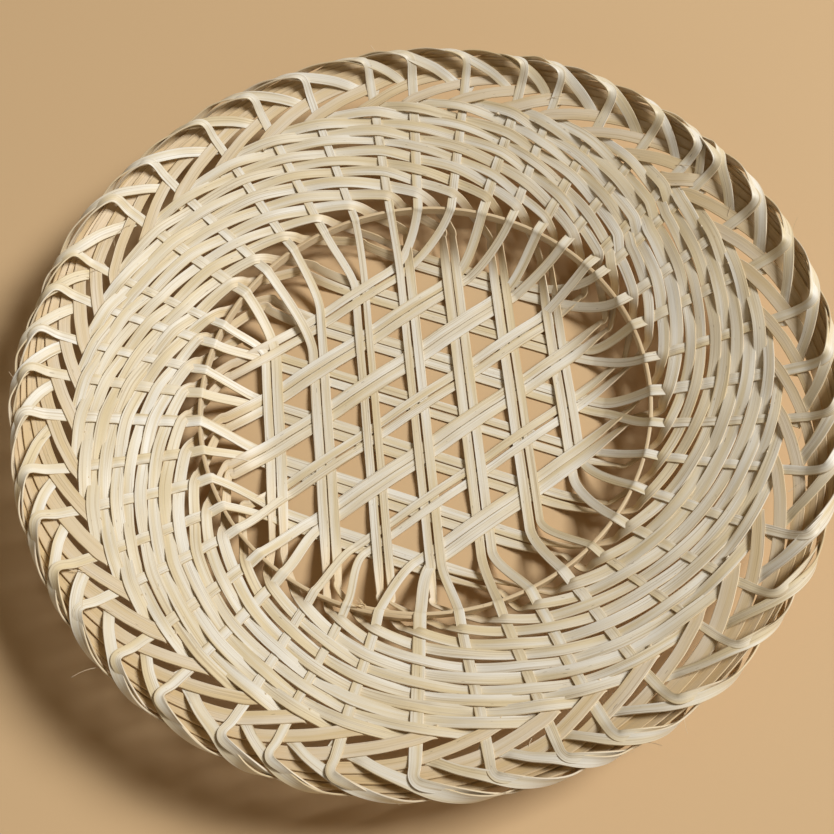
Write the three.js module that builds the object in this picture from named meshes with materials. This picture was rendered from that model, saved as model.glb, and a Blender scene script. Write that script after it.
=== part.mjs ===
// A round woven bamboo plate: forty-two split-bamboo splints and one hoop.
// Three directions of paired splints cross in the flat floor. Each splint leaves the
// floor twice: one end climbs over the hoop and runs out as a radial stake that bends
// over the rim, the other end dives under the hoop and spirals out below the stakes.
import * as THREE from 'three';

// Splint section and spacing, in millimetres
const SPLINT_WIDTH = 3.6;
const SPLINT_THICKNESS = 0.8;
const SPLINT_CLEARANCE = 0.3;
const BRIM_CLEARANCE = 0.5;
const PAIR_GAP = 0.4;
const PAIR_PITCH = 18;
const PAIRS_PER_DIRECTION = 7;

// Plate profile, in millimetres
const FLOOR_MARGIN = 2;
const WALL_RUN = 27;
const WALL_RISE = 12;
const WALL_STEPS = 5;
const BRIM_RUN = 58;
const BRIM_RISE = 20.5;

// Hoop that holds the edge of the well open
const HOOP_THICKNESS = 2;
const HOOP_HEIGHT = 4;
const HOOP_SIDES = 42;
const HOOP_MARGIN = 1.5;

// Runs over which an end climbs to the hoop, settles on the brim and turns from its
// straight line in the floor to its own place round the hoop
const CLIMB_RUN = 10.8;
const SETTLE_RUN = 4.5;
const FAN_INSET = 6;
const FAN_OVERRUN = 5;

// Rim bend of a stake, its lean as a share of the step to the next stake, and the
// turn of a spiral over a run of the brim
const RIM_BEND_RADIUS = 6;
const RIM_BEND_START = THREE.MathUtils.degToRad(-20);
const RIM_BEND_END = THREE.MathUtils.degToRad(110);
const RIM_BEND_STEPS = 5;
const RIM_LIFT = 2.6;
const RIM_LEAN = 0.93;
const RIM_LEAN_POWER = 1.5;
const STAKE_STRAIGHT_END = 15;
const SPIRAL_TURN = THREE.MathUtils.degToRad(83);
const SPIRAL_TURN_RUN = 42;
const SPIRAL_EASE = 12;
const SPIRAL_END_MARGIN = 2;
const SPIRAL_STEP = 6;

// Least spacing of two stations of a splint, and the step that a slope is measured over
const STATION_SPACING = 1;
const SLOPE_STEP = 0.05;

// Colours of the splints and of the hoop
const SPLINT_COLOUR = 0xe6d8ae;
const HOOP_COLOUR = 0xc79d5f;
const SPLINT_ROUGHNESS = 0.55;
const HOOP_ROUGHNESS = 0.6;

// Directions of the splints: each heading carries the stake ends of half of one direction
const HEADINGS = 6;
const HEADING_STEP = (2 * Math.PI) / HEADINGS;
const FIRST_HEADING = HEADING_STEP / 2;
const LAYER_OF_HEADING = [2, 1, 0, 2, 1, 0];
const LETTER_OF_LAYER = ['a', 'b', 'c'];
const RAISED_LAYER = 3;

// Sizes that follow from the ones above
const PAIR_HALF = (SPLINT_WIDTH + PAIR_GAP) / 2;
const LAYER_STEP = SPLINT_THICKNESS + SPLINT_CLEARANCE;
const FLOOR_REACH = ((PAIRS_PER_DIRECTION - 1) / 2) * PAIR_PITCH + PAIR_HALF;
const FLOOR_EDGE = FLOOR_REACH + FLOOR_MARGIN;
const HOOP_RADIUS = FLOOR_EDGE + WALL_RUN;
const RIM_RADIUS = HOOP_RADIUS + BRIM_RUN;
const END_STEP = HEADING_STEP / PAIRS_PER_DIRECTION;
const SPIRAL_TURN_PER_MM = SPIRAL_TURN / SPIRAL_TURN_RUN;
const HALF_THICKNESS = SPLINT_THICKNESS / 2;
const BRIM_OFFSET = (SPLINT_THICKNESS + BRIM_CLEARANCE) / 2;
const HOOP_MIDDLE_Z = HALF_THICKNESS + WALL_RISE;
const HOOP_INSIDE = HOOP_RADIUS - HOOP_THICKNESS / 2 - HOOP_MARGIN;
const HOOP_OUTSIDE = HOOP_RADIUS + HOOP_THICKNESS / 2 + HOOP_MARGIN;
const OVER_HOOP_Z = HOOP_MIDDLE_Z + HOOP_HEIGHT / 2 + SPLINT_CLEARANCE + HALF_THICKNESS;
const UNDER_HOOP_Z = HOOP_MIDDLE_Z - HOOP_HEIGHT / 2 - SPLINT_CLEARANCE - HALF_THICKNESS;
const FAN_START = FLOOR_EDGE + FAN_INSET;
const FAN_END = HOOP_RADIUS + FAN_OVERRUN;

function smoothstep(from, to, value) {
  const share = THREE.MathUtils.clamp((value - from) / (to - from), 0, 1);
  return share * share * (3 - 2 * share);
}

// Height of the dish surface above the floor's underside, and its slope, at a radius
function dishHeight(radius) {
  if (radius <= FLOOR_EDGE) return 0;
  if (radius <= HOOP_RADIUS) return WALL_RISE * ((radius - FLOOR_EDGE) / WALL_RUN) ** 2;
  return WALL_RISE + (BRIM_RISE * (radius - HOOP_RADIUS)) / BRIM_RUN;
}

function dishSlope(radius) {
  return (dishHeight(radius + SLOPE_STEP) - dishHeight(radius - SLOPE_STEP)) / (2 * SLOPE_STEP);
}

// Height of a splint's middle when it lies a given distance off the dish surface
function heightOffDish(radius, distance) {
  return HALF_THICKNESS + dishHeight(radius) + distance * Math.hypot(1, dishSlope(radius));
}

// Height of a stake end or a spiral end along its way out
function endHeight(radius, layer, isStake) {
  const atHoop = isStake ? OVER_HOOP_Z : UNDER_HOOP_Z;
  const onBrim = heightOffDish(radius, isStake ? BRIM_OFFSET : -BRIM_OFFSET);
  const inWell = heightOffDish(radius, layer * LAYER_STEP);
  if (radius < HOOP_RADIUS) {
    const climbed = smoothstep(HOOP_INSIDE - CLIMB_RUN, HOOP_INSIDE, radius);
    return THREE.MathUtils.lerp(inWell, atHoop, climbed);
  }
  const settled = smoothstep(HOOP_OUTSIDE, HOOP_OUTSIDE + SETTLE_RUN, radius);
  return THREE.MathUtils.lerp(atHoop, onBrim, settled);
}

// Turn of the spiral, counter-clockwise from the hoop, at a radius
function spiralTurn(radius) {
  const past = radius - (HOOP_RADIUS - SPIRAL_EASE / 2);
  if (past <= 0) return 0;
  if (past <= SPIRAL_EASE) return (SPIRAL_TURN_PER_MM * past * past) / (2 * SPIRAL_EASE);
  return SPIRAL_TURN_PER_MM * (past - SPIRAL_EASE / 2);
}

// Angle of a splint's place round the hoop, counted from its heading
function placeAngle(place) {
  return (place + 0.5) * END_STEP;
}

// Angle from the heading at which an end crosses a radius
function endAngle(radius, offset, place, isStake) {
  const straight = Math.asin(offset / radius);
  const spread = placeAngle(place);
  const fan = smoothstep(FAN_START, FAN_END, radius);
  if (isStake) return THREE.MathUtils.lerp(straight, spread, fan);
  return THREE.MathUtils.lerp(-straight, spiralTurn(radius) - spread, fan);
}

function polarPoint(radius, angle, z) {
  return new THREE.Vector3(radius * Math.cos(angle), radius * Math.sin(angle), z);
}

// Radii at which an end is drawn, from the floor's edge outwards
function endRadii(isStake) {
  const radii = [];
  for (let i = 0; i <= WALL_STEPS; i += 1) {
    radii.push(THREE.MathUtils.lerp(FLOOR_EDGE, HOOP_INSIDE, i / WALL_STEPS));
  }
  radii.push(HOOP_OUTSIDE, HOOP_OUTSIDE + SETTLE_RUN);
  if (isStake) {
    radii.push(RIM_RADIUS - STAKE_STRAIGHT_END);
    return radii;
  }
  const first = HOOP_OUTSIDE + SETTLE_RUN;
  const last = RIM_RADIUS - SPIRAL_END_MARGIN;
  const steps = Math.ceil((last - first) / SPIRAL_STEP);
  for (let i = 1; i <= steps; i += 1) {
    radii.push(THREE.MathUtils.lerp(first, last, i / steps));
  }
  return radii;
}

// One end of a splint as stations: a point of its middle line and the way its face looks
function endStations(heading, offset, place, layer, isStake) {
  const stations = [];
  for (const radius of endRadii(isStake)) {
    const angle = heading + endAngle(radius, offset, place, isStake);
    const above = endHeight(radius + SLOPE_STEP, layer, isStake);
    const below = endHeight(radius - SLOPE_STEP, layer, isStake);
    const face = polarPoint((below - above) / (2 * SLOPE_STEP), angle, 1).normalize();
    stations.push({ point: polarPoint(radius, angle, endHeight(radius, layer, isStake)), face });
  }
  if (isStake) stations.push(...rimBend(heading + placeAngle(place)));
  return stations;
}

// A stake's bend over the rim, leaning counter-clockwise towards the next stake
function rimBend(angle) {
  const middleZ = heightOffDish(RIM_RADIUS, BRIM_OFFSET) + RIM_LIFT - RIM_BEND_RADIUS;
  const stations = [];
  for (let i = 0; i <= RIM_BEND_STEPS; i += 1) {
    const share = i / RIM_BEND_STEPS;
    const turn = THREE.MathUtils.lerp(RIM_BEND_START, RIM_BEND_END, share);
    const lean = angle + END_STEP * RIM_LEAN * share ** RIM_LEAN_POWER;
    const radius = RIM_RADIUS + RIM_BEND_RADIUS * Math.sin(turn);
    const z = middleZ + RIM_BEND_RADIUS * Math.cos(turn);
    const face = polarPoint(Math.sin(turn), lean, Math.cos(turn));
    stations.push({ point: polarPoint(radius, lean, z), face });
  }
  return stations;
}

// The straight stretch across the floor; the lowest direction rises above the others
// between two crossings before it becomes a stake
function floorStations(heading, offset, layer, stakeLayer) {
  if (layer === stakeLayer) return [];
  const along = new THREE.Vector3(Math.cos(heading), Math.sin(heading), 0);
  const left = new THREE.Vector3(-along.y, along.x, 0);
  const pairOffset = Math.round(offset / PAIR_PITCH) * PAIR_PITCH;
  const slant = Math.cos(HEADING_STEP / 2);
  const lastColumn = (PAIRS_PER_DIRECTION - 1) / 2 - 0.5;
  const middle = (lastColumn * PAIR_PITCH - pairOffset / 2) / slant;
  const freeHalf = (PAIR_PITCH - 4 * PAIR_HALF) / slant / 4;
  const stations = [];
  for (const [distance, level] of [[middle - freeHalf, layer], [middle + freeHalf, stakeLayer]]) {
    const radius = Math.hypot(offset, distance);
    const point = left.clone().multiplyScalar(offset).addScaledVector(along, distance);
    point.z = heightOffDish(radius, level * LAYER_STEP);
    stations.push({ point, face: new THREE.Vector3(0, 0, 1) });
  }
  return stations;
}

// A flat strip of constant width and thickness through a row of stations, closed at its ends
function stripGeometry(stations, width, thickness) {
  const positions = [];
  const indices = [];
  const across = new THREE.Vector3();
  const out = new THREE.Vector3();
  const along = new THREE.Vector3();
  const corners = [[-1, -1], [1, -1], [1, 1], [-1, 1]];
  stations.forEach((station, i) => {
    const before = stations[Math.max(i - 1, 0)].point;
    const after = stations[Math.min(i + 1, stations.length - 1)].point;
    along.subVectors(after, before).normalize();
    across.crossVectors(station.face, along).normalize();
    out.crossVectors(along, across).normalize();
    for (const [side, face] of corners) {
      const corner = station.point.clone();
      corner.addScaledVector(across, (side * width) / 2);
      corner.addScaledVector(out, (face * thickness) / 2);
      positions.push(corner.x, corner.y, corner.z);
    }
  });
  const last = 4 * (stations.length - 1);
  for (let ring = 0; ring < last; ring += 4) {
    for (let k = 0; k < 4; k += 1) {
      const a = ring + k;
      const b = ring + ((k + 1) % 4);
      indices.push(a, b, a + 4, b, b + 4, a + 4);
    }
  }
  indices.push(0, 2, 1, 0, 3, 2);
  indices.push(last, last + 1, last + 2, last, last + 2, last + 3);
  const geometry = new THREE.BufferGeometry();
  geometry.setAttribute('position', new THREE.Float32BufferAttribute(positions, 3));
  geometry.setIndex(indices);
  geometry.computeVertexNormals();
  return geometry;
}

function material(colour, roughness) {
  return new THREE.MeshStandardMaterial({ color: colour, roughness, metalness: 0 });
}

// Distance of each splint of a heading from the plate's middle, nearest first
function offsetsOfHeading() {
  const offsets = [PAIR_HALF];
  for (let pair = 1; pair <= (PAIRS_PER_DIRECTION - 1) / 2; pair += 1) {
    offsets.push(pair * PAIR_PITCH - PAIR_HALF, pair * PAIR_PITCH + PAIR_HALF);
  }
  return offsets;
}

function splint(headingIndex, offset, place) {
  const heading = FIRST_HEADING + headingIndex * HEADING_STEP;
  const layer = LAYER_OF_HEADING[headingIndex];
  const stakeLayer = layer === 0 ? RAISED_LAYER : layer;
  const spiral = endStations(heading + Math.PI, offset, place, layer, false).reverse();
  const floor = floorStations(heading, offset, layer, stakeLayer);
  const stake = endStations(heading, offset, place, stakeLayer, true);
  const reached = (station) => Math.hypot(station.point.x, station.point.y);
  const free = stake.filter((station) => (
    floor.every((passed) => reached(station) > reached(passed) + STATION_SPACING)
  ));
  return stripGeometry([...spiral, ...floor, ...free], SPLINT_WIDTH, SPLINT_THICKNESS);
}

function hoop() {
  const inner = HOOP_RADIUS - HOOP_THICKNESS / 2;
  const outer = HOOP_RADIUS + HOOP_THICKNESS / 2;
  const bottom = HOOP_MIDDLE_Z - HOOP_HEIGHT / 2;
  const top = HOOP_MIDDLE_Z + HOOP_HEIGHT / 2;
  const profile = [[inner, bottom], [outer, bottom], [outer, top], [inner, top], [inner, bottom]];
  const points = profile.map(([x, y]) => new THREE.Vector2(x, y));
  return new THREE.LatheGeometry(points, HOOP_SIDES).rotateX(Math.PI / 2);
}

const plate = new THREE.Group();
for (let headingIndex = 0; headingIndex < HEADINGS; headingIndex += 1) {
  const letter = LETTER_OF_LAYER[LAYER_OF_HEADING[headingIndex]];
  const half = headingIndex < HEADINGS / 2 ? 'near' : 'far';
  offsetsOfHeading().forEach((offset, place) => {
    const geometry = splint(headingIndex, offset, place);
    const mesh = new THREE.Mesh(geometry, material(SPLINT_COLOUR, SPLINT_ROUGHNESS));
    mesh.name = `splint_${letter}_${half}_${place + 1}`;
    plate.add(mesh);
  });
}
const wellHoop = new THREE.Mesh(hoop(), material(HOOP_COLOUR, HOOP_ROUGHNESS));
wellHoop.name = 'well_hoop';
plate.add(wellHoop);

export default plate;
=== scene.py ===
"""A round woven bamboo plate: forty-two flat splints woven round one hoop.

Each splint crosses the floor in a pair. One end climbs over the hoop as a stake, weaves
out through the brim and arches over the rim. The other end dives under the hoop, spirals
out through the stakes, folds back round a stake and winds over the rim.
"""
import math
import random

import bpy
import numpy as np
from mathutils import Matrix, Vector


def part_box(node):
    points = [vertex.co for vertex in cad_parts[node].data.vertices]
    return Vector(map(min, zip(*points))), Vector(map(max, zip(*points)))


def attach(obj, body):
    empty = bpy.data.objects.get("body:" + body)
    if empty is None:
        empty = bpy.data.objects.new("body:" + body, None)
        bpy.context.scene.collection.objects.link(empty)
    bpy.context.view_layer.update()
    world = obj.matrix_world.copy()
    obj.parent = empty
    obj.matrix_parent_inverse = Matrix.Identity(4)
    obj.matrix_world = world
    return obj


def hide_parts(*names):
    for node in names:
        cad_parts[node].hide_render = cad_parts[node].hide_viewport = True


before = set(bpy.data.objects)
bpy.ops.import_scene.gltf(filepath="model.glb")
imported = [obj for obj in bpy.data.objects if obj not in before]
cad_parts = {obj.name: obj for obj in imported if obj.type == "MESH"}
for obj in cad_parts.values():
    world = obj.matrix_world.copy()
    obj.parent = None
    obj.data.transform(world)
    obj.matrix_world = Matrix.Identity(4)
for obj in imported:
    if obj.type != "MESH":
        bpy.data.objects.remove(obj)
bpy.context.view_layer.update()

MM = 0.001
FULL_TURN = 2 * math.pi

# Splints
SPLINT_THICKNESS = 0.55 * MM
FLOOR_WIDTH = 3.62 * MM
STAKE_WIDTH = 3.9 * MM
ARCH_WIDTH = 3.4 * MM
SPIRAL_WIDTH = 4.25 * MM
BORDER_WIDTH = 4.6 * MM
WINDING_WIDTH = 4.0 * MM
# Each splint's own width, and the slow wave of width along it, vary by this share
WIDTH_SPREAD = 0.066
WIDTH_WAVE = 63 * MM

# Headings round the plate, each with as many splints as a direction of the floor has pairs
HEADINGS = 6
PAIRS = 7
STAKES = HEADINGS * PAIRS
HEADING_STEP = FULL_TURN / HEADINGS
FIRST_HEADING = HEADING_STEP / 2
LOWEST, MIDDLE, TOP = range(3)
DIRECTION_OF_HEADING = (TOP, MIDDLE, LOWEST, TOP, MIDDLE, LOWEST)
LETTER = {LOWEST: "a", MIDDLE: "b", TOP: "c"}

# Floor lattice: pairs of splints in three directions
PITCH = {LOWEST: 20.2 * MM, MIDDLE: 18.8 * MM, TOP: 17.9 * MM}
SKEW = {LOWEST: math.radians(3.8), MIDDLE: math.radians(-0.7), TOP: math.radians(-0.8)}
FLOOR_SHIFT = np.array((-2.4, 3.3, 0.0)) * MM
PAIR_HALF = 2.05 * MM
LEVEL_STEP = 0.72 * MM
TOP_LEVEL = 2
LOW_LEVEL = 1
# A splint lies flat this far each side of a crossing, or this share of the way to the next
CROSSING_HALF = 5 * MM
CROSSING_SHARE = 0.3
FLOOR_STEP = 2.6 * MM

# Profile of the plate
hoop_low, hoop_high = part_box("well_hoop")
HOOP_THICKNESS = 2 * MM
HOOP_RADIUS = hoop_high[0] - HOOP_THICKNESS / 2
HOOP_TOP = hoop_high[2]
HOOP_BOTTOM = hoop_low[2]
HOOP_OUTSIDE = HOOP_RADIUS + 2.5 * MM
HOOP_GAP = 0.2 * MM
FLOOR_EDGE = 58 * MM
WALL_RISE = 12 * MM
BRIM_RISE = 20.5 * MM
BRIM_RUN = 58 * MM
BRIM_SLOPE = BRIM_RISE / BRIM_RUN
BRIM_TILT = math.atan(BRIM_SLOPE)
BRIM_LIFT = 1.3 * MM
BRIM_LIFT_END = 114 * MM
SLOPE_STEP = 0.05 * MM

# Stakes that climb from the floor over the hoop
STAKE_LEAVE = {LOWEST: 68 * MM, MIDDLE: 62 * MM, TOP: 61 * MM}
# One stake by heading and place turns off the floor early
EARLY_TURN = {(1, 4): 52 * MM}
STAKE_LEAST_RUN = 27 * MM
# Below zero a stake hangs under the straight line from the floor to the hoop
STAKE_EASE = -0.35
WALL_STEPS = 14
WALL_TILT_SHARE = 0.4
# How strongly the ways at the two ends of the climb pull on its curve
LEAVE_PULL = 0.7
ARRIVE_PULL = 0.8

# Stakes across the brim
STAKE_WEAVE_LEAD = 1 * MM
STAKE_WEAVE_END = 128 * MM
STAKE_STEP_OUT = 1.5 * MM
STAKE_WAVE = 0.25 * MM
STAKE_ERROR = math.radians(0.55)
STAKE_LEAN = math.radians(0.5)
# Degrees from each heading to its first stake, and from one stake to the next
STAKE_FANS = ((4.8, 8.35), (2.9, 9.65), (7.0, 7.85), (1.5, 8.4), (1.7, 9.15), (6.0, 9.05))

# Arch of a stake over the rim. Millimetres and degrees in the tables of stations
ARCH_LIFT = (0.0, 1.0)
ARCH_SWEEP = (0.8, 1.25)
ARCH_NARROWS = (134, 143)
# Columns: radius, height off the brim, tilt of the face
STAKE_LAST = (
    (130.4, -0.35, -20),
    (134.0, 0.05, -20),
    (138.4, 0.60, -22),
)
# Columns: radius, angle counter-clockwise of the stake, height, share of the lift, tilt
ARCH = (
    (142.4, 0.0, 35.4, 0.5, -18),
    (144.6, 0.6, 36.6, 0.8, 0),
    (145.9, 2.2, 36.9, 1.0, 32),
    (147.2, 4.4, 35.8, 0.7, 62),
    (148.6, 7.0, 33.2, 0.0, 86),
    (148.9, 9.2, 30.4, 0.0, 104),
    (147.4, 11.2, 29.0, 0.0, 130),
    (144.6, 13.2, 28.8, 0.0, 155),
    (141.4, 15.2, 29.2, 0.0, 162),
)

# Tails that dive from the floor under the hoop: they bank into their turn and sink, and their diving
# stretch takes a painted golden shade for the shadow under the hoop
DIVE_START = 60 * MM
LEVEL_FADE = 70 * MM
SPIRAL_LEAVE = 79 * MM
TAIL_BANK = math.radians(44)
TAIL_SINK = 1.3 * MM
# Most painted golden shade on a diving tail
TAIL_PAINTED_SHADE = 0.45

# Spirals through the stakes of the brim, by the count of stakes passed
SPIRAL_START = 80 * MM
SPIRAL_FIRST = 91 * MM
SPIRAL_RISE_START = HOOP_OUTSIDE - 1 * MM
SPIRAL_GAP = 5.2 * MM
SPIRAL_GAP_LOSS = 0.11 * MM
SPIRAL_STEPS = 4
SPIRAL_BEGIN = 0.5
SPIRAL_SETTLE = 2
FOLD_CROSSING = 10
SPIRAL_WAVE = 0.62 * MM
LAST_WAVE = 1.1 * MM
SPIRAL_SWAY = 0.45 * MM
SWAY_PACE = (0.5, 1.1)
SPIRAL_ROLL = math.radians(5)
ROLL_PACE = 2.4
# Past the hoop a tail's bank and its painted golden shade fade out, and the bank turns inward
HOOP_BANK = TAIL_BANK / 2
BANK_TURN_START = 0.25
BANK_END = 1.0
TAIL_SHADE_END = 1.2
TWISTED_SPIRAL = 20
TWIST = math.radians(24)
TWIST_SPAN = (7.1, 8.0)
# Halvings that find the count of stakes passed at a radius
HALVINGS = 30

# Border: each spiral folds back round a stake, runs along the rim and winds over it.
# Millimetres and degrees in the tables of stations
BRIM_FLAT = -math.degrees(BRIM_TILT)
TURNED_OVER = 180 + BRIM_FLAT
# Columns: stakes passed clockwise, radius, height off the brim, tilt of the face.
# At the fold itself the face looks clockwise and has no tilt
BORDER = (
    (-0.04, 127.7, -0.98, BRIM_FLAT),
    (-0.22, 127.1, -0.86, BRIM_FLAT),
    (-0.31, 126.9, -0.45, None),
    (-0.22, 127.4, 0.02, TURNED_OVER),
    (0.00, 129.2, 0.32, TURNED_OVER),
    (0.26, 131.0, 0.45, TURNED_OVER),
    (0.52, 132.9, 0.35, TURNED_OVER),
    (1.00, 136.2, -0.35, TURNED_OVER),
    (1.45, 138.8, -0.80, TURNED_OVER),
    (1.95, 141.0, -1.20, TURNED_OVER - 4),
    (2.45, 142.8, -1.55, TURNED_OVER - 8),
    (3.00, 144.2, -1.95, TURNED_OVER - 12),
    (3.55, 145.4, -2.35, TURNED_OVER - 16),
    (4.10, 146.4, -2.65, TURNED_OVER - 26),
    (4.55, 147.8, -2.75, TURNED_OVER - 54),
)
# Columns: stakes passed clockwise, radius, height, tilt of the face
WINDING = (
    (4.99, 149.5, 33.2, 95),
    (5.33, 149.7, 35.0, 66),
    (5.71, 147.6, 36.5, 24),
    (6.08, 144.0, 35.6, -20),
    (6.41, 140.6, 33.5, -34),
    (6.62, 138.2, 31.5, -34),
    (6.78, 136.4, 29.6, BRIM_FLAT),
)
# The winding's tucked end, and how it moves with the depth of the tuck: same columns
TUCKED_END = (6.92, 135.0, 28.9)
TUCK_WAY = (0.12, -0.8, -0.3)
TUCK = (-0.8, 2.2)
# Irregular lift and swell of the winding and shift of the border, with where each acts
LIFT = (-0.6, 0.5)
LIFT_SPAN = (5.0, 5.6, 6.1, 6.6)
SWELL = (-0.9, 0.7)
SWELL_SPAN = (4.8, 5.3, 6.0, 6.5)
SHIFT = 0.35
SHIFT_SPAN = (0.5, 2.0)
# Painted golden shade on the border's run as the core of the rim, for the shade under the arches, and
# the stakes passed over which it comes in
BORDER_PAINTED_SHADE = 0.55
BORDER_PAINTED_SHADE_SPAN = (0.8, 2.2)

# A splint's section in shares of half width and half thickness: its upper face, turned
# half round, is its lower one. Points on the faces stand off by up to a ridge
EDGE = 0.94
UPPER_FACE = ((-1.0, 0.5), (-EDGE, 1.0), (-0.48, 1.0), (0.0, 1.0), (0.48, 1.0), (EDGE, 1.0), (1.0, 0.5))
SECTION = UPPER_FACE + tuple((-x, -y) for x, y in UPPER_FACE)
RIDGE = 0.13

# Rings of a splint's mesh: one for each of these lengths, bends and twists
RING_LENGTH = 1.5 * MM
RING_BEND = 0.16
RING_TWIST = 0.4
FINE_STEP = 0.25 * MM
LEAST_FINE_STEPS = 3
LEAST_CHORD = 1e-6
LEAST_LENGTH = 1e-9

# Range of the grain's third coordinate, which differs by piece, and seeds of the pieces
GRAIN_DEPTH = 100
SEEDS_PER_HEADING = 10
HOOP_SEED = 91
FIBRE_SEED = 200
# Darkest tone of a strip by direction, as painted shade: the lower layers, shaded by those above, may
# be darker, and the upper ones are paler
LAYER_SHADE_TONE_LIMIT = {LOWEST: 1.0, MIDDLE: 0.8, TOP: 0.55}

# Irregularity of hand work: each stake has its own small error of place and lean
rng = random.Random(7)
stake_error = [rng.gauss(0, STAKE_ERROR) for _ in range(STAKES)]
stake_lean = [rng.gauss(0, STAKE_LEAN) for _ in range(STAKES)]


def smoothstep(start, end, value):
    share = min(max((value - start) / (end - start), 0.0), 1.0)
    return share * share * (3 - 2 * share)


def hump(start, full, wane, end, value):
    """Rises from 0 to 1 between two values and falls back to 0 between two more."""
    return smoothstep(start, full, value) * (1 - smoothstep(wane, end, value))


def lerp(a, b, share):
    return a + (b - a) * share


def hermite(share, start, start_way, end, end_way):
    """A point on the cubic curve that joins two ends, with the curve's way at each."""
    square = share * share
    cube = square * share
    return (
        (2 * cube - 3 * square + 1) * start
        + (cube - 2 * square + share) * start_way
        + (3 * square - 2 * cube) * end
        + (cube - square) * end_way
    )


def unit(vector):
    return vector / np.linalg.norm(vector)


def polar(radius, angle, z):
    return np.array((radius * math.cos(angle), radius * math.sin(angle), z))


def turned(angle, outward, up, along=0.0):
    """A direction given by its parts outward, up and counter-clockwise at an angle."""
    c, s = math.cos(angle), math.sin(angle)
    return np.array((outward * c - along * s, outward * s + along * c, up))


def leaning(angle, tilt):
    """The way that a face looks at an angle round the plate when it leans outward by a tilt."""
    return turned(angle, math.sin(tilt), math.cos(tilt))


def brim_face(angle, roll=0.0):
    return leaning(angle, roll - BRIM_TILT)


def banked(face, aside, bank):
    """A face that leans to one side by an angle."""
    return face * math.cos(bank) + unit(aside) * math.sin(bank)


def dish_height(radius):
    """Height of the dish: flat floor, round wall, then a sloping brim that swells a little."""
    if radius <= FLOOR_EDGE:
        return 0.0
    if radius <= HOOP_RADIUS:
        return WALL_RISE * ((radius - FLOOR_EDGE) / (HOOP_RADIUS - FLOOR_EDGE)) ** 2
    lift = BRIM_LIFT * hump(HOOP_RADIUS, HOOP_OUTSIDE, HOOP_RADIUS, BRIM_LIFT_END, radius)
    return WALL_RISE + BRIM_SLOPE * (radius - HOOP_RADIUS) + lift


def dish_slope(radius):
    return (dish_height(radius + SLOPE_STEP) - dish_height(radius - SLOPE_STEP)) / (2 * SLOPE_STEP)


def off_dish(radius, distance):
    """Height of a splint's middle that lies a distance off the dish."""
    slope = dish_slope(radius)
    return SPLINT_THICKNESS / 2 + dish_height(radius) + distance * math.hypot(1, slope)


def stake_angle(index, radius):
    """Where a stake stands at a radius: each group of seven fans out from its heading."""
    turns, stake = divmod(index, STAKES)
    group, place = divmod(stake, PAIRS)
    start, step = STAKE_FANS[group]
    heading = turns * FULL_TURN + FIRST_HEADING + group * HEADING_STEP
    lean = stake_lean[stake] * smoothstep(HOOP_RADIUS, STAKE_WEAVE_END, radius)
    return heading + math.radians(start + step * place) + stake_error[stake] + lean


def between_stakes(count, radius=STAKE_WEAVE_END):
    """Angle at a radius and at a count of stakes that need not be whole."""
    low = math.floor(count)
    return lerp(stake_angle(low, radius), stake_angle(low + 1, radius), count - low)


def spiral_radius(crossing):
    """Radius of a spiral at a count of stakes passed since the hoop."""
    if crossing <= 1:
        return SPIRAL_START + (SPIRAL_FIRST - SPIRAL_START) * math.sqrt(max(crossing, 0.0))
    passed = crossing - 1
    return SPIRAL_FIRST + SPIRAL_GAP * passed - SPIRAL_GAP_LOSS * passed * passed


def crossing_at(radius):
    """Count of stakes that a spiral has passed where it reaches a radius."""
    low = 0.0
    high = FOLD_CROSSING + 2.0
    for _ in range(HALVINGS):
        middle = (low + high) / 2
        if spiral_radius(middle) < radius:
            low = middle
        else:
            high = middle
    return low


class Path:
    """Stations of a splint: middle point, way the outer face looks, width, and share of gold, which is
    painted golden shade on the splints and the loose fibres' own colour.
    """

    def __init__(self):
        self.points = []
        self.faces = []
        self.widths = []
        self.gold_and_shade_shares = []

    def add(self, point, face, width, gold_and_shade=0.0):
        self.points.append(np.asarray(point, float))
        self.faces.append(np.asarray(face, float))
        self.widths.append(width)
        self.gold_and_shade_shares.append(gold_and_shade)

    def reversed(self):
        for column in (self.points, self.faces, self.widths, self.gold_and_shade_shares):
            column.reverse()
        return self

    def join(self, other):
        self.points += other.points
        self.faces += other.faces
        self.widths += other.widths
        self.gold_and_shade_shares += other.gold_and_shade_shares


def floor_levels(direction, pair):
    """Levels of a middle or top pair at its crossings, as (distance along, level)."""
    nodes = []
    half = (PAIRS - 1) // 2
    crossed = PITCH[TOP if direction == MIDDLE else MIDDLE]
    for other in range(-half, half + 1):
        lowest = pair + other
        if abs(lowest) <= half:
            over = lowest % 2 == (1 if direction == MIDDLE else 0)
            place = (other * crossed + pair * PITCH[direction] / 2) / math.sin(HEADING_STEP)
            nodes.append((place, TOP_LEVEL if over else LOW_LEVEL))
    return nodes


def level_at(nodes, along):
    """Level between crossings: flat over a crossing, smooth between two."""
    if not nodes:
        return 0.0
    if along <= nodes[0][0]:
        return nodes[0][1]
    for (a, low), (b, high) in zip(nodes, nodes[1:]):
        if along <= b:
            half = min(CROSSING_HALF, (b - a) * CROSSING_SHARE)
            return lerp(low, high, smoothstep(a + half, b - half, along))
    return nodes[-1][1]


def reach(middle, along, radius, sign):
    """Distance along a line to where it meets a circle round the middle of the plate."""
    foot = middle @ along
    return -foot + sign * math.sqrt(max(foot * foot - middle @ middle + radius * radius, 0.0))


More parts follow.
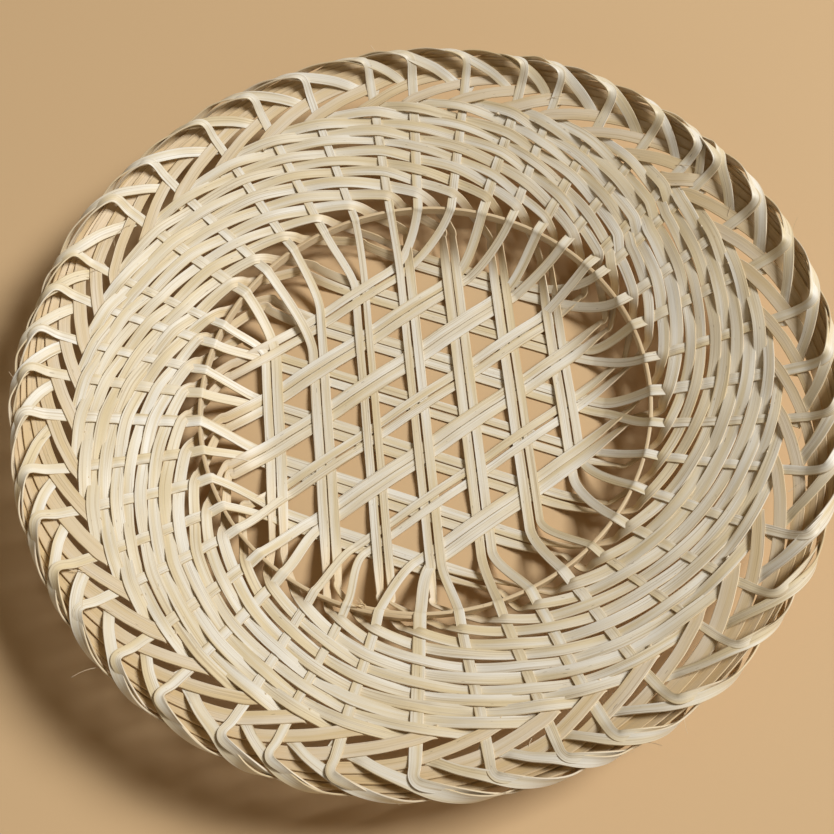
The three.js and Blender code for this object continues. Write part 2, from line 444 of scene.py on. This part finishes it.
def floor_run(middle, along, levels, leave):
    """The straight stretch across the floor and up to where the two ends turn."""
    path = Path()
    first = reach(middle, along, SPIRAL_LEAVE, -1)
    last = max(reach(middle, along, leave, 1), STAKE_LEAST_RUN)
    steps = int((last - first) / FLOOR_STEP)
    aside = np.array((along[1], -along[0], 0.0))
    for i in range(steps + 1):
        distance = lerp(first, last, i / steps)
        point = middle + along * distance
        radius = math.hypot(point[0], point[1])
        level = level_at(levels, distance)
        dive = 0.0
        if distance < 0:
            level *= 1 - smoothstep(LEVEL_FADE, SPIRAL_LEAVE, radius)
            dive = smoothstep(DIVE_START, SPIRAL_LEAVE, radius)
        bank = TAIL_BANK * dive
        point[2] = off_dish(radius, level * LEVEL_STEP) - TAIL_SINK * math.sin(bank) * dive
        angle = math.atan2(point[1], point[0])
        face = banked(leaning(angle, -math.atan(dish_slope(radius))), aside, bank)
        # The tail takes painted golden shade as it dives into the shadow under the hoop
        path.add(point, face, FLOOR_WIDTH, TAIL_PAINTED_SHADE * dive)
    return path


def bent_run(leave, way, arrive, onward):
    """Points in plan of a splint that bends where it leaves the floor, then runs straight."""
    chord = arrive - leave
    span = np.linalg.norm(chord)
    start_way = way * span * LEAVE_PULL
    end_way = unit(unit(chord) + onward) * span * ARRIVE_PULL
    for i in range(1, WALL_STEPS):
        yield hermite(i / WALL_STEPS, leave, start_way, arrive, end_way)


def add_wall(path, run, leave, over_hoop):
    """Stations of a stake that climbs from the floor to the top of the hoop."""
    first = math.hypot(leave[0], leave[1])
    span = HOOP_RADIUS - first
    first_tilt = math.atan(dish_slope(first))
    last_tilt = math.atan((over_hoop - leave[2]) / span)
    for point in run:
        share = min(max((math.hypot(point[0], point[1]) - first) / span, 0.0), 1.0)
        z = lerp(leave[2], over_hoop, share * (1 + STAKE_EASE * (1 - share)))
        angle = math.atan2(point[1], point[0])
        tilt = lerp(first_tilt, last_tilt, smoothstep(0.0, WALL_TILT_SHARE, share))
        path.add((point[0], point[1], z), leaning(angle, -tilt), FLOOR_WIDTH)


def add_arch(path, base):
    """Last stations of a stake, and its arch over the rim."""
    lift = rng.uniform(*ARCH_LIFT)
    sweep = rng.uniform(*ARCH_SWEEP)
    for radius, height, tilt in STAKE_LAST:
        z = off_dish(radius * MM, height * MM)
        face = leaning(base, math.radians(tilt))
        path.add(polar(radius * MM, base, z), face, arch_width(radius))
    for radius, lean, height, lifted, tilt in ARCH:
        angle = base + math.radians(lean) * sweep
        z = (height + lift * lifted) * MM
        face = leaning(angle, math.radians(tilt))
        path.add(polar(radius * MM, angle, z), face, arch_width(radius))


def arch_width(radius):
    return lerp(STAKE_WIDTH, ARCH_WIDTH, smoothstep(*ARCH_NARROWS, radius))


def stake_end(leave, way, index):
    """The end that climbs over the hoop, weaves out and arches over the rim."""
    path = Path()
    over_hoop = HOOP_TOP + SPLINT_THICKNESS / 2 + HOOP_GAP
    arrive_angle = stake_angle(index, HOOP_RADIUS)
    arrive = polar(HOOP_RADIUS, arrive_angle, over_hoop)
    onward = turned(arrive_angle, 1, 0)
    add_wall(path, bent_run(leave, way, arrive, onward), leave, over_hoop)
    path.add(arrive, brim_face(arrive_angle), STAKE_WIDTH)
    radius = SPIRAL_FIRST - STAKE_WEAVE_LEAD
    while radius < STAKE_WEAVE_END:
        angle = stake_angle(index, radius)
        wave = STAKE_WAVE * math.cos(math.pi * crossing_at(radius))
        path.add(polar(radius, angle, off_dish(radius, wave)), brim_face(angle), STAKE_WIDTH)
        radius += STAKE_STEP_OUT
    add_arch(path, stake_angle(index, STAKE_WEAVE_END))
    return path


def spiral_end(index):
    """The end that dives under the hoop, spirals out and winds into the rim."""
    path = Path()
    under_hoop = HOOP_BOTTOM - SPLINT_THICKNESS / 2 - HOOP_GAP
    phase = rng.uniform(0, FULL_TURN)
    pace = rng.uniform(*SWAY_PACE)
    twisted = index % STAKES == TWISTED_SPIRAL
    for i in range(int(SPIRAL_BEGIN * SPIRAL_STEPS), FOLD_CROSSING * SPIRAL_STEPS):
        crossing = i / SPIRAL_STEPS
        radius = spiral_radius(crossing)
        angle = between_stakes(index + crossing, radius)
        last = smoothstep(FOLD_CROSSING - 2, FOLD_CROSSING - 1, crossing)
        wave = -lerp(SPIRAL_WAVE, LAST_WAVE, last) * math.cos(math.pi * crossing)
        bank = HOOP_BANK * (1 - smoothstep(SPIRAL_BEGIN, BANK_END, crossing))
        rise = smoothstep(SPIRAL_RISE_START, SPIRAL_FIRST, radius)
        z = lerp(under_hoop, off_dish(radius, wave), rise) - TAIL_SINK * math.sin(bank)
        settled = min(crossing / SPIRAL_SETTLE, 1.0)
        sway = SPIRAL_SWAY * math.sin(phase + pace * crossing) * settled
        roll = SPIRAL_ROLL * math.sin(2 * phase + ROLL_PACE * crossing) * settled
        if twisted and TWIST_SPAN[0] < crossing < TWIST_SPAN[1]:
            roll = TWIST
        inward = smoothstep(BANK_TURN_START, BANK_END, crossing)
        face = banked(brim_face(angle, roll), turned(angle, -inward, 0, 1 - inward), bank)
        width = lerp(FLOOR_WIDTH, SPIRAL_WIDTH, settled)
        # The tail's painted golden shade fades out past the hoop
        gold_and_shade = TAIL_PAINTED_SHADE * (1 - smoothstep(SPIRAL_BEGIN, TAIL_SHADE_END, crossing))
        path.add(polar(radius + sway, angle, z), face, width, gold_and_shade)
    add_border(path, index + FOLD_CROSSING)
    return path


def add_border(path, stake):
    """Fold back round a stake, run as the core of the rim with a painted golden shade, then wind over
    the rim.
    """
    lift = rng.uniform(*LIFT)
    shift = rng.gauss(0, SHIFT)
    swell = rng.uniform(*SWELL)
    tuck = rng.uniform(*TUCK)
    for passed, radius, height, tilt in BORDER:
        radius = (radius + shift * smoothstep(*SHIFT_SPAN, passed)) * MM
        angle = between_stakes(stake - passed)
        z = off_dish(radius, height * MM)
        if tilt is None:
            face = turned(angle, 0.0, 0.0, -1.0)
        else:
            face = leaning(angle, math.radians(tilt))
        # The core takes painted golden shade as it runs under the arches
        gold_and_shade = BORDER_PAINTED_SHADE * smoothstep(*BORDER_PAINTED_SHADE_SPAN, passed)
        path.add(polar(radius, angle, z), face, BORDER_WIDTH, gold_and_shade)
    tucked = [end + tuck * way for end, way in zip(TUCKED_END, TUCK_WAY)]
    for passed, radius, height, tilt in (*WINDING, (*tucked, BRIM_FLAT)):
        angle = between_stakes(stake - passed)
        face = leaning(angle, math.radians(tilt))
        radius += swell * hump(*SWELL_SPAN, passed)
        height += lift * hump(*LIFT_SPAN, passed)
        path.add(polar(radius * MM, angle, height * MM), face, WINDING_WIDTH)


def splint_path(heading_index, place):
    """Stations of one splint from the tucked end of its spiral to the end of its arch."""
    direction = DIRECTION_OF_HEADING[heading_index]
    heading = FIRST_HEADING + heading_index * HEADING_STEP + SKEW[direction]
    pair = (place + 1) // 2
    side = 1 if place % 2 == 0 else -1
    along = turned(heading, 1, 0)
    middle = FLOOR_SHIFT + turned(heading, 0, 0, pair * PITCH[direction] + side * PAIR_HALF)
    levels = []
    if direction != LOWEST:
        # The lattice counts its pairs along the first three headings
        sign = 1 if heading_index < HEADINGS // 2 else -1
        lattice_pair = -pair * sign if direction == MIDDLE else pair * sign
        levels = sorted((u * sign, level) for u, level in floor_levels(direction, lattice_pair))
    leave = EARLY_TURN.get((heading_index, place), STAKE_LEAVE[direction])
    floor = floor_run(middle, along, levels, leave)
    path = spiral_end(heading_index * PAIRS + STAKES // 2 - place).reversed()
    path.join(floor)
    path.join(stake_end(floor.points[-1], along, heading_index * PAIRS + place))
    return path


def fine_curve(points, data):
    """Columns of data along a Catmull-Rom curve through the points, in fine steps."""
    chord = np.linalg.norm(np.diff(points, axis=0), axis=1)
    knots = np.concatenate([[0], np.cumsum(np.sqrt(np.maximum(chord, LEAST_CHORD)))])
    last = len(points) - 1
    fine = []
    for i in range(last):
        before = max(i - 1, 0)
        after = min(i + 2, last)
        span = knots[i + 1] - knots[i]
        start_way = span * (data[i + 1] - data[before]) / (knots[i + 1] - knots[before])
        end_way = span * (data[after] - data[i]) / (knots[after] - knots[i])
        count = max(LEAST_FINE_STEPS, int(chord[i] / FINE_STEP))
        for k in range(count):
            fine.append(hermite(k / count, data[i], start_way, data[i + 1], end_way))
    fine.append(data[last])
    return np.array(fine)


def smooth_path(path):
    """Points, faces, widths, shares of gold and painted shade, and lengths along a path, denser where
    it bends.
    """
    points = np.array(path.points)
    columns = np.array([path.widths, path.gold_and_shade_shares]).T
    fine = fine_curve(points, np.hstack([points, np.array(path.faces), columns]))
    step = np.diff(fine[:, :3], axis=0)
    length = np.linalg.norm(step, axis=1)
    way = step / np.maximum(length, LEAST_LENGTH)[:, None]
    bend = np.zeros(len(length))
    bend[1:] = np.arccos(np.clip((way[1:] * way[:-1]).sum(1), -1, 1))
    faces = fine[:, 3:6]
    size = np.linalg.norm(faces, axis=1)
    likeness = (faces[1:] * faces[:-1]).sum(1) / (size[1:] * size[:-1])
    twist = np.arccos(np.clip(likeness, -1, 1))
    rings = length / RING_LENGTH + bend / RING_BEND + twist / RING_TWIST
    weight = np.concatenate([[0], np.cumsum(rings)])
    arc = np.concatenate([[0], np.cumsum(length)])
    wanted = np.linspace(0, weight[-1], int(weight[-1]) + 1)
    out = np.stack([np.interp(wanted, weight, column) for column in fine.T], 1)
    return out[:, :3], out[:, 3:6], out[:, 6], out[:, 7], np.interp(wanted, weight, arc)


def add_attribute(mesh, name, kind, field, values):
    layer = mesh.attributes.new(name, kind, "POINT")
    layer.data.foreach_set(field, np.asarray(values, np.float32).reshape(-1))


def ribbon(name, path, thickness, seed, layer_shade_tone_limit=1.0):
    """A closed strip mesh along a path, with grain, side, tone and gold on its points; the gold is
    painted shade on splints and the fibres' own colour, and the tone's limit holds painted shade.
    """
    noise = random.Random(seed)
    points, faces, widths, gold_and_shade_shares, arc = smooth_path(path)
    tangents = np.gradient(points, axis=0)
    tangents /= np.linalg.norm(tangents, axis=1)[:, None]
    across = np.cross(faces, tangents)
    across /= np.maximum(np.linalg.norm(across, axis=1), LEAST_LENGTH)[:, None]
    outs = np.cross(tangents, across)
    wave = np.sin(arc / WIDTH_WAVE + noise.uniform(0, FULL_TURN))
    breathing = 1 + WIDTH_SPREAD * wave + noise.gauss(0, WIDTH_SPREAD)
    half_widths = widths * breathing / 2
    profile = []
    for x, y in SECTION:
        on_face = abs(y) == 1.0 and abs(x) < EDGE
        profile.append((x, y * (1 + noise.uniform(-RIDGE, RIDGE)) if on_face else y))
    shares = np.array(profile)
    verts = (
        points[:, None, :]
        + across[:, None, :] * (shares[None, :, 0, None] * half_widths[:, None, None])
        + outs[:, None, :] * (shares[None, :, 1, None] * thickness / 2)
    )
    rings = len(points)
    count = len(profile)
    polygons = []
    for i in range(rings - 1):
        for k in range(count):
            a = i * count + k
            b = i * count + (k + 1) % count
            polygons.append((a, a + count, b + count, b))
    polygons.append(tuple(range(count)))
    polygons.append(tuple(reversed(range((rings - 1) * count, rings * count))))
    mesh = bpy.data.meshes.new(name)
    mesh.from_pydata(verts.reshape(-1, 3).tolist(), [], polygons)
    mesh.polygons.foreach_set("use_smooth", [True] * (len(polygons) - 2) + [False] * 2)
    corners = [k for k, (x, y) in enumerate(SECTION) if abs(x) == EDGE]
    for edge in mesh.edges:
        a, b = edge.vertices
        edge.use_edge_sharp = a % count == b % count and a % count in corners
    grain = np.empty((rings, count, 3))
    grain[:, :, 0] = arc[:, None]
    grain[:, :, 1] = shares[None, :, 0] * half_widths[:, None]
    grain[:, :, 2] = noise.uniform(0, GRAIN_DEPTH)
    side = np.sign(shares[:, 1]) * (np.abs(shares[:, 0]) <= EDGE)
    add_attribute(mesh, "grain", "FLOAT_VECTOR", "vector", grain)
    add_attribute(mesh, "side", "FLOAT", "value", np.tile(side, rings))
    # Tone differs at random by splint, up to a limit that paints shade on the lower layers
    add_attribute(mesh, "tone", "FLOAT", "value", np.full(rings * count, noise.uniform(0, layer_shade_tone_limit)))
    # Gold: painted golden shade on the splints, the loose fibres' own colour
    add_attribute(mesh, "gold_and_shade", "FLOAT", "value", np.repeat(gold_and_shade_shares, count))
    mesh.update()
    piece = bpy.data.objects.new(name, mesh)
    bpy.context.collection.objects.link(piece)
    return piece


class Nodes:
    """Short calls for building a material's nodes."""

    def __init__(self, name):
        self.material = bpy.data.materials.new(name)
        self.material.use_nodes = True
        self.tree = self.material.node_tree
        self.shader = self.tree.nodes["Principled BSDF"]

    def link(self, source, target):
        self.tree.links.new(source, target)

    def attribute(self, name, output):
        node = self.tree.nodes.new("ShaderNodeAttribute")
        node.attribute_name = name
        return node.outputs[output]

    def scaled(self, vector, scale):
        node = self.tree.nodes.new("ShaderNodeVectorMath")
        node.operation = "MULTIPLY"
        self.link(vector, node.inputs[0])
        node.inputs[1].default_value = scale
        return node.outputs[0]

    def noise(self, vector, detail):
        node = self.tree.nodes.new("ShaderNodeTexNoise")
        node.inputs["Scale"].default_value = 1.0
        node.inputs["Detail"].default_value = detail
        node.inputs["Roughness"].default_value = NOISE_ROUGHNESS
        self.link(vector, node.inputs["Vector"])
        return node.outputs["Fac"]

    def ramp(self, value, low, high, start=0.0, end=1.0):
        node = self.tree.nodes.new("ShaderNodeMapRange")
        node.interpolation_type = "SMOOTHSTEP"
        self.link(value, node.inputs["Value"])
        node.inputs["From Min"].default_value = low
        node.inputs["From Max"].default_value = high
        node.inputs["To Min"].default_value = start
        node.inputs["To Max"].default_value = end
        return node.outputs["Result"]

    def math(self, operation, first, second=0.0):
        node = self.tree.nodes.new("ShaderNodeMath")
        node.operation = operation
        for socket, value in zip(node.inputs, (first, second)):
            if isinstance(value, float):
                socket.default_value = value
            else:
                self.link(value, socket)
        return node.outputs[0]

    def mix(self, share, first, second):
        node = self.tree.nodes.new("ShaderNodeMix")
        node.data_type = "RGBA"
        # The colour sockets are inputs 6 and 7 and output 2
        self.link(share, node.inputs[0])
        for socket, value in ((node.inputs[6], first), (node.inputs[7], second)):
            if isinstance(value, tuple):
                socket.default_value = (*value, 1)
            else:
                self.link(value, socket)
        return node.outputs[2]

    def bump(self, height, distance, strength):
        node = self.tree.nodes.new("ShaderNodeBump")
        node.inputs["Strength"].default_value = strength
        node.inputs["Distance"].default_value = distance
        self.link(height, node.inputs["Height"])
        self.link(node.outputs["Normal"], self.shader.inputs["Normal"])


# Bamboo: scales of its noises along, across and between splints, in waves to the metre
STRAND_SCALE = (14, 2300, 1)
HAIR_SCALE = (40, 7500, 1)
PATCH_SCALE = (16, 320, 1)
SPECK_SCALE = (260, 1500, 1)
NOISE_ROUGHNESS = 0.55
# Ranges of the noises and attributes over which a colour comes in, and its strength
PATCH_RANGE = (0.30, 0.72)
TONE_RANGE = (0.35, 1.0)
TONE_SHARE = 0.50
STRAND_RANGE = (0.54, 0.68)
STRAND_SHARE = 0.60
HAIR_RANGE = (0.52, 0.72)
HAIR_SHARE = 0.38
SPECK_RANGE = (0.74, 0.80)
SPECK_SHARE = 0.55
SPECK_COLOUR = (0.16, 0.10, 0.05)
# Golden backs and edges: range of the side attribute, then shares of gold at its ends. The backs' gold
# is partly their own colour and partly painted warm shade for light that passes through and bounces
# between strips; the cut edges' gold is their own colour
BACK_GOLD_AND_SHADE = (-0.9, -0.2, 0.40, 0.0)
EDGE_GOLD = (0.25, 0.95, 0.45, 0.0)
# Surface: range of the strands, then roughness at its ends, shine, and relief of the fibres
ROUGHNESS = (0.3, 0.75, 0.40, 0.60)
SPECULAR = 0.42
HAIR_HEIGHT = 0.5
BUMP_DEPTH = 0.12 * MM
BUMP_STRENGTH = 0.7


def bamboo(name, pale, straw, golden_and_shade, fibre):
    """Split bamboo: lengthwise fibres, tone that differs by splint, golden backs that are partly
    painted warm shade, and painted golden shade from the gold on the points.
    """
    n = Nodes(name)
    grain = n.attribute("grain", "Vector")
    side = n.attribute("side", "Fac")
    tone = n.attribute("tone", "Fac")
    strands = n.noise(n.scaled(grain, STRAND_SCALE), detail=3.0)
    hairs = n.noise(n.scaled(grain, HAIR_SCALE), detail=2.0)
    patches = n.noise(n.scaled(grain, PATCH_SCALE), detail=2.0)
    specks = n.noise(n.scaled(grain, SPECK_SCALE), detail=1.0)
    body = n.mix(n.ramp(patches, *PATCH_RANGE), pale, straw)
    body = n.mix(n.math("MULTIPLY", n.ramp(tone, *TONE_RANGE), TONE_SHARE), body, straw)
    # Golden backs: partly their own colour, partly painted warm shade
    body = n.mix(n.ramp(side, *BACK_GOLD_AND_SHADE), body, golden_and_shade)
    # Painted golden shade on the splints' tails and rim core, and the fibres' own gold
    body = n.mix(n.attribute("gold_and_shade", "Fac"), body, golden_and_shade)
    body = n.mix(n.ramp(n.math("ABSOLUTE", side), *EDGE_GOLD), body, golden_and_shade)
    body = n.mix(n.math("MULTIPLY", n.ramp(strands, *STRAND_RANGE), STRAND_SHARE), body, fibre)
    body = n.mix(n.math("MULTIPLY", n.ramp(hairs, *HAIR_RANGE), HAIR_SHARE), body, fibre)
    body = n.mix(n.math("MULTIPLY", n.ramp(specks, *SPECK_RANGE), SPECK_SHARE), body, SPECK_COLOUR)
    n.link(body, n.shader.inputs["Base Color"])
    n.link(n.ramp(strands, *ROUGHNESS), n.shader.inputs["Roughness"])
    n.shader.inputs["Specular IOR Level"].default_value = SPECULAR
    relief = n.math("ADD", strands, n.math("MULTIPLY", hairs, HAIR_HEIGHT))
    n.bump(relief, BUMP_DEPTH, BUMP_STRENGTH)
    return n.material


splint_material = bamboo(
    "split_bamboo",
    pale=(0.79, 0.755, 0.66),
    straw=(0.68, 0.565, 0.35),
    golden_and_shade=(0.60, 0.42, 0.20),
    fibre=(0.42, 0.31, 0.17),
)
hoop_material = bamboo(
    "hoop_bamboo",
    pale=(0.74, 0.63, 0.45),
    straw=(0.67, 0.53, 0.34),
    golden_and_shade=(0.58, 0.41, 0.20),
    fibre=(0.42, 0.29, 0.15),
)

# The splints, one woven piece for each
for heading_index in range(HEADINGS):
    direction = DIRECTION_OF_HEADING[heading_index]
    half = "near" if heading_index < HEADINGS // 2 else "far"
    for place in range(PAIRS):
        node = f"splint_{LETTER[direction]}_{half}_{place + 1}"
        path = splint_path(heading_index, place)
        seed = heading_index * SEEDS_PER_HEADING + place
        piece = ribbon(f"woven_{node}", path, SPLINT_THICKNESS, seed, LAYER_SHADE_TONE_LIMIT[direction])
        piece.data.materials.append(splint_material)
        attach(piece, "root")
        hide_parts(node)

# The hoop is one bent strip on edge whose ends lap
HOOP_LAP = math.radians(14)
HOOP_LAP_PLACE = math.radians(249.5)
HOOP_STRIP = 1.2 * MM
HOOP_OFFSET = 0.65 * MM
HOOP_STEPS = 180
hoop_path = Path()
for i in range(HOOP_STEPS + 1):
    share = i / HOOP_STEPS
    angle = HOOP_LAP_PLACE + share * (FULL_TURN + HOOP_LAP)
    radius = HOOP_RADIUS + lerp(-HOOP_OFFSET, HOOP_OFFSET, share)
    middle = polar(radius, angle, (HOOP_TOP + HOOP_BOTTOM) / 2)
    hoop_path.add(middle, turned(angle, -1.0, 0.0), HOOP_TOP - HOOP_BOTTOM)
hoop = ribbon("bent_well_hoop", hoop_path, HOOP_STRIP, HOOP_SEED)
hoop.data.materials.append(hoop_material)
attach(hoop, "root")
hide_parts("well_hoop")

# Loose fibres at the rim and at the torn end of the hoop
FIBRE_THICKNESS = 0.12 * MM
FIBRE_STEPS = 5
FIBRE_TAPER = 0.5
FIBRE_BOW_ASIDE = 0.3
FIBRE_BOW_UP = 0.2
RIM_FIBRES = 26
RIM_FIBRE_WIDTH = 0.2 * MM
RIM_FIBRE_GOLD = 0.5
RIM_FIBRE_LENGTH = (4, 11)
RIM_INSIDE = 134.5 * MM
RIM_INSIDE_HEIGHT = off_dish(RIM_INSIDE, 0.3 * MM)
RIM_OUTSIDE = 148.6 * MM
RIM_OUTSIDE_HEIGHT = 33.5 * MM
# Inside and outside the rim in turn: radius, height, ranges of the way out and of the way up
RIM_PLACES = (
    (RIM_INSIDE, RIM_INSIDE_HEIGHT, (0.3, 1.0), (0.2, 0.5)),
    (RIM_OUTSIDE, RIM_OUTSIDE_HEIGHT, (0.2, 1.0), (-0.4, 0.6)),
)
TORN_FIBRES = 30
TORN_FIBRE_WIDTH = 0.36 * MM
TORN_FIBRE_GOLD = 0.9
TORN_FIBRE_LENGTH = (2.0, 6.0)
# Degrees along the torn end, depth into the hoop, and mean and spread of the way out and up
TORN_ALONG = (0.0, 1.5)
TORN_DEPTH = (0.1, 1.2)
TORN_OUT = (-0.1, 0.3)
TORN_UP = (0.2, 0.3)


def fibre(number, start, way, length, width, gold_and_shade):
    """One thin hair that bows aside and up along its length."""
    bow_aside = rng.gauss(0, FIBRE_BOW_ASIDE)
    bow_up = rng.gauss(0, FIBRE_BOW_UP)
    way = unit(way)
    side = unit(np.cross(way, (0, 0, 1)))
    rise = np.cross(side, way)
    path = Path()
    for i in range(FIBRE_STEPS + 1):
        share = i / FIBRE_STEPS
        point = start + length * (way * share + (side * bow_aside + rise * bow_up) * share * share)
        path.add(point, rise, width * (1 - FIBRE_TAPER * share), gold_and_shade)
    return ribbon(f"fibre_{number}", path, FIBRE_THICKNESS, FIBRE_SEED + number)


fibres = []
for number in range(RIM_FIBRES):
    radius, height, outward, upward = RIM_PLACES[number % 2]
    angle = between_stakes(rng.uniform(0, STAKES))
    start = polar(radius, angle, height)
    way = turned(angle, rng.uniform(*outward), rng.uniform(*upward), rng.choice((-1.0, 1.0)))
    length = rng.uniform(*RIM_FIBRE_LENGTH) * MM
    fibres.append(fibre(number, start, way, length, RIM_FIBRE_WIDTH, RIM_FIBRE_GOLD))
for number in range(RIM_FIBRES, RIM_FIBRES + TORN_FIBRES):
    angle = HOOP_LAP_PLACE + math.radians(rng.uniform(*TORN_ALONG))
    radius = HOOP_RADIUS - rng.uniform(*TORN_DEPTH) * MM
    start = polar(radius, angle, rng.uniform(HOOP_BOTTOM, HOOP_TOP))
    way = turned(angle, rng.gauss(*TORN_OUT), rng.gauss(*TORN_UP), -1.0)
    length = rng.uniform(*TORN_FIBRE_LENGTH) * MM
    fibres.append(fibre(number, start, way, length, TORN_FIBRE_WIDTH, TORN_FIBRE_GOLD))
loose = fibres[0]
with bpy.context.temp_override(active_object=loose, object=loose, selected_editable_objects=fibres):
    bpy.ops.object.join()
loose.name = "loose_fibres"
loose.data.materials.append(splint_material)
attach(loose, "root")

# Floor
FLOOR_RADIUS = 2.2
FLOOR_HEIGHT = -0.2 * MM
FLOOR_CORNERS = 128
FLOOR_COLOUR = (0.61, 0.42, 0.225, 1)
FLOOR_ROUGHNESS = 0.8
bpy.ops.mesh.primitive_circle_add(
    vertices=FLOOR_CORNERS, radius=FLOOR_RADIUS, fill_type="NGON", location=(0, 0, FLOOR_HEIGHT)
)
floor = bpy.context.object
floor.name = "studio_floor"
floor_nodes = Nodes("studio_floor")
floor_nodes.shader.inputs["Base Color"].default_value = FLOOR_COLOUR
floor_nodes.shader.inputs["Roughness"].default_value = FLOOR_ROUGHNESS
floor.data.materials.append(floor_nodes.material)

# World: a weak warm light all round, and a plain backdrop that only the camera sees
AMBIENT_COLOUR = (1.0, 0.74, 0.44, 1)
AMBIENT_STRENGTH = 0.15
BACKDROP_COLOUR = (0.72, 0.52, 0.30, 1)
world = bpy.data.worlds.new("studio")
world.use_nodes = True
tree = world.node_tree
ambient = tree.nodes["Background"]
ambient.inputs["Color"].default_value = AMBIENT_COLOUR
ambient.inputs["Strength"].default_value = AMBIENT_STRENGTH
backdrop = tree.nodes.new("ShaderNodeBackground")
backdrop.inputs["Color"].default_value = BACKDROP_COLOUR
ray = tree.nodes.new("ShaderNodeLightPath")
seen = tree.nodes.new("ShaderNodeMixShader")
tree.links.new(ray.outputs["Is Camera Ray"], seen.inputs["Fac"])
tree.links.new(ambient.outputs["Background"], seen.inputs[1])
tree.links.new(backdrop.outputs["Background"], seen.inputs[2])
tree.links.new(seen.outputs["Shader"], tree.nodes["World Output"].inputs["Surface"])
bpy.context.scene.world = world

# Lights: a high key from the right and a weak low fill from the front left
LIGHT_AIM = Vector((0, 0, 0.02))
KEY_PLACE = Vector((2.50, 0.25, 2.55))
KEY_SIZE = 1.1
KEY_POWER = 146.0
FILL_PLACE = Vector((-0.5, -1.2, 0.6))
FILL_SIZE = 0.9
FILL_POWER = 1.8


def area_light(name, place, size, power):
    data = bpy.data.lights.new(name, "AREA")
    data.size = size
    data.energy = power
    lamp = bpy.data.objects.new(name, data)
    lamp.location = place
    lamp.rotation_euler = (LIGHT_AIM - place).to_track_quat("-Z", "Y").to_euler()
    bpy.context.collection.objects.link(lamp)


area_light("key", KEY_PLACE, KEY_SIZE, KEY_POWER)
area_light("fill", FILL_PLACE, FILL_SIZE, FILL_POWER)

# Camera: it looks at the plate's middle, which the shift of the lens puts at the aim pixel
IMAGE_SIDE = 834
FOCAL_PIXELS = 1250
AIM_PIXEL = (424.1, 394.4)
AIM_HEIGHT = 15.15 * MM
SENSOR_WIDTH = 36.0
CAMERA_ELEVATION = math.radians(63.7)
CAMERA_ROLL = math.radians(-6.9)
CAMERA_DISTANCE = 469 * MM
aim = Vector((0, 0, AIM_HEIGHT))
camera_data = bpy.data.cameras.new("camera")
camera_data.sensor_fit = "HORIZONTAL"
camera_data.sensor_width = SENSOR_WIDTH
camera_data.lens = SENSOR_WIDTH * FOCAL_PIXELS / IMAGE_SIDE
camera_data.shift_x = (IMAGE_SIDE / 2 - AIM_PIXEL[0]) / IMAGE_SIDE
camera_data.shift_y = (AIM_PIXEL[1] - IMAGE_SIDE / 2) / IMAGE_SIDE
camera = bpy.data.objects.new("camera", camera_data)
back = Vector((0, -math.cos(CAMERA_ELEVATION), math.sin(CAMERA_ELEVATION)))
tilt = Matrix.Rotation(math.pi / 2 - CAMERA_ELEVATION, 4, "X")
roll = Matrix.Rotation(CAMERA_ROLL, 4, "Z")
camera.matrix_world = Matrix.Translation(aim + back * CAMERA_DISTANCE) @ tilt @ roll
bpy.context.collection.objects.link(camera)
bpy.context.scene.camera = camera
bpy.context.scene.view_settings.view_transform = "Standard"
